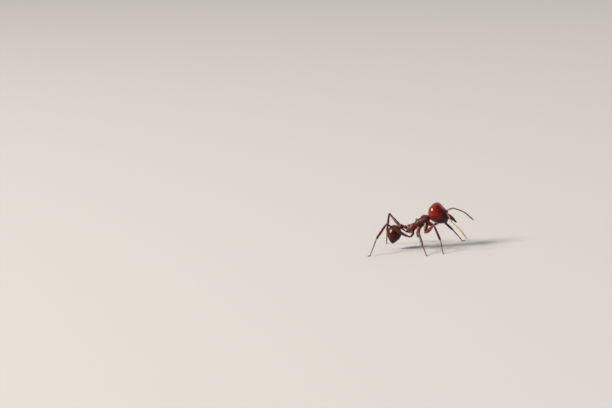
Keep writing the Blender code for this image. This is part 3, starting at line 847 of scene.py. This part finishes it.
def trunk_tube():
    sides, rings = 72, 150
    s = np.linspace(TRUNK_START + 0.02, TRUNK_LENGTH, rings)
    t = full_turn(sides)
    width, rise, drop = (trunk_size(s, k)[:, None] * INSET for k in range(3))
    above = np.sin(t) * np.where(np.sin(t) > 0, rise, drop)
    return rows_to_part(np.stack(np.broadcast_arrays(s[:, None], width * np.cos(t), above), -1))


def trunk_relief(p):
    """Sutures, plates and rough places of the trunk. p holds along, aside and above."""
    s, y, h = p.T
    w = abs(y)
    upper, lower = ease(h + 0.35, 0.4), ease(0.35 - h, 0.3) * ease(w - 0.25, 0.2)
    flank = ease(w - 0.3, 0.2)
    # The grooves between plates, each as (distance from it, width, depth, where it is).
    lift, grooves = np.zeros(len(p)), np.zeros(len(p))
    for distance, width, depth, place in (
        (s - 3.42 - 0.3 * (0.5 - h), 0.045, 0.055, ease(h + 0.6, 0.3)),
        (s - 1.8 + 0.2 * (0.6 - h), 0.07, 0.08, upper),
        (h + 0.52 - 0.32 * (s - 2.2), 0.045, 0.045, lower * ease(s - 1.7, 0.3) * ease(3.4 - s, 0.3)),
        (s - 1.62 + 0.45 * h, 0.05, 0.05, lower),
        (h + 0.3, 0.04, 0.04, ease(s - 3.5, 0.2) * ease(4.7 - s, 0.2) * flank),
        (h + 0.18 + 0.25 * (s - 0.9), 0.035, 0.03, ease(1.5 - s, 0.2) * ease(s - 0.3, 0.2) * flank),
    ):
        cut = hump(distance, width) * place
        lift -= depth * cut
        grooves = np.maximum(grooves, cut)
    # Bulges over the hind and middle hips, the breathing hole, wrinkles on the sides, and uneven plates above.
    lift += 0.07 * hump(np.hypot(s - 0.55, h + 0.42), 0.24) * flank
    lift += 0.05 * hump(np.hypot(s - 2.45, h + 0.3), 0.34) * ease(w - 0.4, 0.2)
    hole = np.hypot(s - 1.18, h - 0.22)
    lift += (0.03 * hump(hole - 0.075, 0.03) - 0.04 * hump(hole, 0.045)) * flank
    wrinkle = np.sin(26 * h + 5 * s) * ease(1.7 - s, 0.3) * ease(w - 0.35, 0.2)
    wrinkle += np.sin(24 * s + 3 * h) * ease(h - 0.3, 0.3) * 0.4
    lift += 0.009 * wrinkle
    lift += 0.014 * np.sin(9 * s + 2) * np.sin(8 * y) * ease(h + 0.1, 0.4)
    # Painted shade: darker in front as if in the head's shadow, darker below, and darker in the grooves and the
    # breathing hole.
    tone = trunk_painted_shade(s) + 0.25 * ease(-0.45 - h, 0.4)
    tone = 1 - (1 - tone) * (1 - 0.75 * grooves) * (1 - 0.3 * hump(hole, 0.05))
    return lift, clamp(tone)


def trunk_thorns(scale, radius_scale, blunt):
    made = []
    for along, aside, length, radius, back, out in TRUNK_SPINES:
        width, rise = trunk_size(along, 0), trunk_size(along, 1)
        height = rise * math.sqrt(max(0.0, 1 - (aside / width) ** 2)) - 0.08
        lean, tilt = math.radians(back), math.radians(out)
        for sign in SIDES.values():
            way = [-math.sin(lean) * math.cos(tilt), sign * math.sin(tilt), math.cos(lean) * math.cos(tilt)]
            root = [along, sign * aside, height]
            thorn = cone(root, way, length * scale, radius * radius_scale, 18, 0.25, None, blunt)
            # Each thorn takes the trunk's painted shade, and also darkens towards its tip.
            thorn.tone = clamp(trunk_painted_shade(along) + 0.5 * thorn.unwrap[:, 0] ** 3)
            made.append(thorn)
    return made


def build_trunk():
    thorns = trunk_thorns(0.55, 0.95, 0.35)
    collar = tube([[4.7, 0, 0.05], [5.35, 0, 0.02]], lambda f: 0.46 - 0.12 * f, 32, 20)
    skin = remeshed([trunk_tube(), collar] + thorns, 0.034, 5)
    emboss(skin, trunk_relief)
    s, y, h = skin.points.T
    skin.unwrap = np.stack([(s + 0.3) / 5.8, 0.5 + np.arctan2(y, h) / (2 * PI)], -1)
    skin.points = TRUNK_ORIGIN + skin.points @ TRUNK_AXES
    skin.grain = np.tile(-TRUNK_AXES[0], (len(skin.points), 1))
    layers = [("trunk", skin)]
    for thorn in trunk_thorns(0.99, 0.74, 0.05):
        thorn.points = TRUNK_ORIGIN + thorn.points @ TRUNK_AXES
        layers.append(("trunk", thorn))
    make_piece("trunk_shell", layers, ["mesosoma"])
    return skin


# Waist and gaster


def build_waist():
    start = TRUNK_ORIGIN + TRUNK_AXES[0] * WAIST_CUT
    knee, end = joint("petiole", "postpetiole"), joint("postpetiole", "gaster_front")
    knee[1] = end[1] = SHIFT[1]
    back = unit(knee - start)

    def petiole_size(f):
        return 0.19 + 0.03 * hump(f, 0.12) + 0.05 * hump(f - 0.66, 0.22)

    def petiole_shape(f, t):
        node = 1 + 0.85 * hump(f - 0.64, 0.17) * np.maximum(0, np.sin(t)) ** 1.5
        return node * (1 + 0.25 * hump(f - 0.62, 0.2) * abs(np.cos(t)))

    def postpetiole_size(f):
        return 0.24 + 0.17 * np.sin(PI * clamp(0.12 + 0.8 * f)) ** 1.2

    def postpetiole_shape(f, t):
        wide = 1 + 0.42 * abs(np.cos(t)) ** 1.5 * hump(f - 0.55, 0.4)
        return wide * (1 + 0.28 * hump(f - 0.45, 0.25) * np.maximum(0, np.sin(t)))

    seam = lambda f: 0.45 + 0.4 * hump(f, 0.08) + 0.4 * hump(1 - f, 0.08)
    petiole = tube([start - back * 0.18, knee + back * 0.1], petiole_size, 32, 70, UP, petiole_shape, seam)
    way = unit(end - knee)
    route = [knee - way * 0.08, end + way * 0.12]
    postpetiole = tube(route, postpetiole_size, 36, 70, UP, postpetiole_shape, seam)
    layers = [("trunk", petiole)]
    top = np.cross([0, 1, 0], back)
    top = top if top[2] > 0 else -top
    crest = start + (knee - start) * 0.6 + top * 0.38
    for sign in SIDES.values():
        aside = np.array([0, sign, 0])
        layers.append(("trunk", cone(crest + aside * 0.13, top + aside * 0.5 + back * 0.4, 0.16, 0.06, 8, 0.1)))
    make_piece("petiole_shell", layers, ["petiole"])
    make_piece("postpetiole_shell", [("trunk", postpetiole)], ["postpetiole"])
    hinges = [hinge(place, size, 18) for place, size in ((start, 0.18), (knee, 0.18), (end, 0.24))]
    make_piece("waist_joints", hinges)
    return petiole, postpetiole


# Where each plate of the gaster ends, along it from its middle.
PLATES = (0.85, 1.22, 1.5, 1.72)


def gaster_parts():
    """The gaster as overlapping plates, each with a free edge over the next."""
    sides, half = 96, GASTER_LENGTH / 2
    edges = [-half] + list(PLATES) + [half]
    rows, tones = [], []
    t = full_turn(sides)
    for number, (low, high) in enumerate(zip(edges, edges[1:])):
        for f in np.linspace(0, 1, 14 if number else 70):
            x = between(low, high, f if number else 0.5 - 0.5 * math.cos(PI * f))
            p = min(0.9999, max(-0.9999, x / half))
            ring = math.sqrt(1 - p * p) * (1 - GASTER_POINTED * ease(p + 0.1, 1.1)) * INSET
            tuck = 0.045 * number**0.5 + (0.03 * (1 - f) ** 2 if number else 0.0)
            width = max(0.02, GASTER_HALF_WIDTH * ring - tuck)
            depth = max(0.02, GASTER_HALF_DEPTH * ring - tuck)
            y, z = width * np.cos(t), depth * np.sin(t)
            side_seam = hump(np.sin(t) + 0.42, 0.035)
            rows.append(np.stack([x + 0 * t, y * (1 - 0.022 * side_seam), z * (1 - 0.022 * side_seam)], -1))
            # Painted shade darkens each plate where it tucks under the one before, and along the side seam.
            tuck_painted_shade = 0.75 * hump(f, 0.16) if number else 0.0
            tones.append(clamp(tuck_painted_shade + 0.5 * side_seam + 0.35 * hump(1 - f, 0.03)))
    rows = np.array(rows)
    grain = np.broadcast_to(GASTER_AXES[0], rows.shape)
    ends = [-half * 0.9999, 0, 0], [half * 0.999, 0, 0]
    part = rows_to_part(rows, ends, grain=grain, tone=np.array(tones))
    part.points = GASTER_ORIGIN + part.points @ GASTER_AXES
    return part


def build_gaster():
    skin = gaster_parts()
    make_piece("gaster_shell", [("gaster", skin)], ["gaster_front", "gaster_tip"])
    return skin


# Legs

LEG_SIZES = {
    # coxa's root and end, femur at its thickest and thinnest, tibia, tarsus's root
    "fore": (0.54, 0.34, 0.36, 0.21, 0.215, 0.135),
    "mid": (0.42, 0.28, 0.305, 0.185, 0.21, 0.13),
    "hind": (0.43, 0.29, 0.315, 0.18, 0.21, 0.135),
}
# Each spur's length and radius.
FORE_SPURS, OTHER_SPURS = ((0.34, 0.036),), ((0.2, 0.022), (0.15, 0.02))
# A claw from root to tip: ahead, aside and up.
CLAW_PATH = ((-0.06, 0.0, 0.0), (0.06, 0.05, 0.03), (0.15, 0.11, 0.0), (0.19, 0.13, -0.07))
# How much painted shade darkens the fore shins, and how high a toe stands.
FORE_SHIN_PAINTED_SHADE, TOE_HEIGHT = 0.3, 0.092


def claw_pair(toe, ahead):
    """Two hooked claws with a pad between them, standing on the floor."""
    side = np.cross(UP, ahead)
    layers = []
    for sign in (-1, 1):
        root = toe + side * (sign * 0.035)
        path = [root + ahead * a + side * sign * b + UP * c for a, b, c in CLAW_PATH]
        layers.append(("claw", tube(path, lambda f: 0.036 * (1 - f) ** 0.7 + 0.005, 10, 26)))
    pad = bead(toe + ahead * 0.03 - UP * 0.015, [0.075, 0.05, 0.04], [ahead, side, UP], 14, 10, 0.3)
    return layers + [("membrane", pad)]


def build_leg(side, pair):
    name = f"leg_{side}_{pair}"
    nodes = [f"{name}_{part}" for part in ("coxa", "trochanter", "femur", "tibia", "tarsus")]
    hip = meeting(nodes[0], "mesosoma")
    coxa_end, trochanter, knee, ankle = (joint(a, b) for a, b in zip(nodes, nodes[1:]))
    mount = next(m for m in frame["record"]["mounts"] if m["name"] == f"foot_{side}_{pair}")
    toe = np.array(mount["pos_m"]) / MM
    coxa_root, coxa_tip, thick, thin, shin, foot = LEG_SIZES[pair]

    way = unit(coxa_end - hip)
    coxa = tube(
        [hip - way * 0.3, (hip + coxa_end) / 2 - way * 0.05, coxa_end + way * 0.03],
        lambda f: between(coxa_root, coxa_tip, ease(f)) * (1 - 0.12 * hump(f, 0.15)),
        36, 60, tone=lambda f: 0.55 * hump(1 - f, 0.1),
    )
    neck = unit(trochanter - coxa_end)
    knob = tube(
        [coxa_end - neck * 0.05, trochanter + neck * 0.02],
        lambda f: 0.17 + 0.055 * np.sin(PI * f), 20, 30, tone=lambda f: 0.35 + 0.3 * hump(f, 0.2),
    )
    along = unit(knee - trochanter)
    bowed = trochanter + (knee - trochanter) * 0.3 + np.cross(np.cross(along, -UP), along) * 0.17

    def femur_size(f):
        swell = (thick - thin) * np.sin(PI * clamp(f * 1.12)) ** 1.6
        return 0.135 + (thin - 0.135) * ease(f * 4) + swell + 0.03 * hump(f - 0.97, 0.04)

    femur = tube(
        [trochanter - along * 0.04, bowed, knee + along * 0.02],
        femur_size, 34, 100, tone=lambda f: 0.45 * hump(f, 0.06) + 0.6 * hump(1 - f, 0.05),
    )
    shank = unit(ankle - knee)
    bend = unit(np.cross(np.cross(ankle - knee, UP), ankle - knee))

    def tibia_size(f):
        swell = 0.012 * hump(f - 0.6, 0.3)
        return 0.095 + (shin - 0.095) * ease(f * 4.5) + swell + 0.015 * hump(f - 0.98, 0.05)

    # The fore shins are darkened with painted shade.
    shade = FORE_SHIN_PAINTED_SHADE if pair == "fore" else 0.0
    tibia = tube(
        [knee - shank * 0.05, knee + shank * 0.22 + bend * 0.035, (knee + ankle) / 2 + bend * 0.02, ankle],
        tibia_size, 28, 90, tone=lambda f: shade + 0.6 * hump(f, 0.06) + 0.35 * hump(1 - f, 0.05),
    )

    # The foot drops from the ankle, turns and ends level over the flat on which it stands.
    ahead = unit((toe - ankle) * [1, 1, 0])
    flat = toe * [1, 1, 0] + UP * TOE_HEIGHT
    tip = flat + ahead * 0.04
    turn = flat - ahead * 0.42
    drop = turn + unit(ankle - turn) * 0.35 + UP * 0.02
    size, tone = beads(5, 3.6, 1.15, foot, 0.085, 0.66)
    route = [ankle - unit(drop - ankle) * 0.04, ankle + (drop - ankle) * 0.5, drop, turn + UP * 0.03, flat, tip]
    tarsus = tube(route, lambda f: size(f) * (1 - 0.45 * hump(f, 0.02)), 16, 200, tone=tone, rounded=False)
    # The middle hips and the fore thighs take the thigh shell: partly their own red, partly painted light.
    hip_shell = "thigh" if pair == "mid" else "leg"
    thigh_shell = "thigh" if pair == "fore" else "leg"
    layers = [(hip_shell, coxa), (hip_shell, knob), (thigh_shell, femur), ("leg", tibia), ("tarsus", tarsus)]
    layers += [hinge(coxa_end, 0.15), hinge(knee, 0.115), hinge(ankle, 0.09, 14, 10)]
    layers += claw_pair(tip, ahead)
    inward = unit(np.cross(shank, UP)) * 0.08
    for number, (length, radius) in enumerate(FORE_SPURS if pair == "fore" else OTHER_SPURS):
        root = ankle - shank * 0.08 + inward * (1 - 2 * number)
        away = unit(shank + (UP * -0.35) + inward * (3 - 6 * number))
        layers.append(("claw", cone(root, away, length, radius, 8, 0.05, shank)))
    make_piece(name, layers, nodes)
    return {"coxa": coxa, "femur": femur, "tibia": tibia, "tarsus": tarsus}


# Building everything

head = build_head()
build_eyes()
mandibles = build_mandibles()
build_mouth()
antennae = {side: build_antenna(side) for side in SIDES}
trunk = build_trunk()
waist_parts = build_waist()
gaster = build_gaster()
legs = {(side, pair): build_leg(side, pair) for side in SIDES for pair in PAIRS}


# How thickly hair grows at places: more on the front of the head, and more behind on the gaster.
front_of_head = lambda points: 0.1 + 0.8 * ease(((points - HEAD_ORIGIN) @ HEAD_AXES.T)[:, 0] - 0.7)
behind_gaster = lambda points: 0.25 + ease(((points - GASTER_ORIGIN) @ GASTER_AXES.T)[:, 0] + 0.2, 1.6)

# The hair of each part: count, shortest and longest, radius, and lean from upright in radians.
HEAD_HAIR, MANDIBLE_HAIR = (340, (0.09, 0.19), 0.0065, 0.8), (90, (0.1, 0.24), 0.007, 0.9)
TRUNK_HAIR, WAIST_HAIR = (520, (0.1, 0.24), 0.007, 0.5), (90, (0.1, 0.2), 0.007, 0.6)
GASTER_HAIR = (420, (0.13, 0.28), 0.007, 0.9)
SCAPE_HAIR, FUNICULUS_HAIR = (300, (0.07, 0.15), 0.006, 0.9), (1000, (0.05, 0.1), 0.005, 0.95)
LEG_HAIR = {
    "coxa": (110, (0.08, 0.16), 0.007, 0.7),
    "femur": (330, (0.08, 0.17), 0.0065, 0.95),
    "tibia": (400, (0.08, 0.16), 0.0065, 1.0),
    "tarsus": (420, (0.06, 0.12), 0.006, 0.85),
}

bristles("coat_head", [(head, *HEAD_HAIR, front_of_head)] + [(m, *MANDIBLE_HAIR) for m in mandibles])
bristles("coat_trunk", [(trunk, *TRUNK_HAIR)] + [(p, *WAIST_HAIR) for p in waist_parts])
bristles("coat_gaster", [(gaster, *GASTER_HAIR, behind_gaster)])
for side in SIDES:
    scape, funiculus = antennae[side]
    bristles(f"coat_antenna_{side}", [(scape, *SCAPE_HAIR), (funiculus, *FUNICULUS_HAIR)])
    sources = [(legs[side, pair][part], *hair) for pair in PAIRS for part, hair in LEG_HAIR.items()]
    bristles(f"coat_legs_{side}", sources)


# Floor, light and camera

CAMERA_AZIMUTH, CAMERA_ELEVATION, CAMERA_ROLL = 9.0, 9.0, 4.0
CAMERA_DISTANCE = 0.55
FRAME_WIDTH = 0.1224
SENSOR = 36.0
# The ant stands right of the middle of the frame and a little below it: metres at its distance.
OFF_CENTRE = (0.0228, -0.0036)
LOOKED_AT = (SHIFT + UP * 5.4) * MM


def view_axes(azimuth, elevation, roll):
    a, e, r = (math.radians(v) for v in (azimuth, elevation, roll))
    ahead = np.array([-math.sin(a) * math.cos(e), math.cos(a) * math.cos(e), -math.sin(e)])
    right = np.array([math.cos(a), math.sin(a), 0.0])
    over = np.cross(right, ahead)
    return right * math.cos(r) - over * math.sin(r), right * math.sin(r) + over * math.cos(r), ahead


def build_camera():
    data = bpy.data.cameras.new("camera")
    camera = linked("camera", data)
    bpy.context.scene.camera = camera
    data.sensor_width = SENSOR
    data.lens = SENSOR * CAMERA_DISTANCE / FRAME_WIDTH
    data.clip_start, data.clip_end = 0.01, 50.0
    # The ray to the ant leaves the frame's middle by these angles, so the camera is turned back by them.
    aside = math.degrees(math.atan(OFF_CENTRE[0] / CAMERA_DISTANCE))
    below = math.degrees(math.atan(OFF_CENTRE[1] / CAMERA_DISTANCE))
    right, over, ahead = view_axes(CAMERA_AZIMUTH + aside, CAMERA_ELEVATION + below, CAMERA_ROLL)
    place = LOOKED_AT - ahead * CAMERA_DISTANCE - right * OFF_CENTRE[0] - over * OFF_CENTRE[1]
    rows = [[right[k], over[k], -ahead[k], place[k]] for k in range(3)]
    camera.matrix_world = Matrix(rows + [[0, 0, 0, 1]])


# The lights stand this many times further off than written below, and are larger and stronger to match.
LIGHTS_AWAY = 2.2


def area_light(name, place, size, power, colour=(1, 1, 1)):
    data = bpy.data.lights.new(name, "AREA")
    data.shape = "DISK"
    data.size = size * LIGHTS_AWAY
    data.energy = power * LIGHTS_AWAY**2
    data.color = colour
    light = linked(name, data)
    light.location = Vector(place) * LIGHTS_AWAY
    aim = Vector(LOOKED_AT) - light.location
    light.rotation_euler = aim.to_track_quat("-Z", "Y").to_euler()


FLOOR_RADIUS, FLOOR_SIDES, FLOOR_COLOUR = 4.0, 96, (0.395, 0.378, 0.356, 1.0)


def build_floor():
    points = [(FLOOR_RADIUS * math.cos(t), FLOOR_RADIUS * math.sin(t), 0.0) for t in full_turn(FLOOR_SIDES)]
    mesh = bpy.data.meshes.new("floor")
    mesh.from_pydata(points, [], [tuple(range(FLOOR_SIDES))])
    material, tree, shader = new_material("floor")
    feed_node(tree, shader, Base_Color=FLOOR_COLOUR, Roughness=0.8, Specular_IOR_Level=0.1)
    mesh.materials.append(material)
    floor = linked("floor", mesh)


def build_light():
    world = bpy.data.worlds.new("studio")
    world.use_nodes = True
    tree = world.node_tree
    feed_node(tree, tree.nodes["Background"], Color=(0.92, 0.95, 1.0, 1.0), Strength=0.17)
    bpy.context.scene.world = world
    area_light("key", (-0.565, -0.27, 0.445), 0.34, 15.0, (1.0, 0.96, 0.91))
    area_light("overhead", (0.0, 0.25, 0.95), 1.3, 3.2, (0.93, 0.95, 1.0))
    area_light("fill", (0.55, -0.75, 0.45), 1.1, 0.8)
    area_light("far_fill", (0.45, 0.8, 0.4), 0.9, 1.7)
    bpy.context.scene.view_settings.view_transform = "Standard"


build_camera()
build_floor()
build_light()
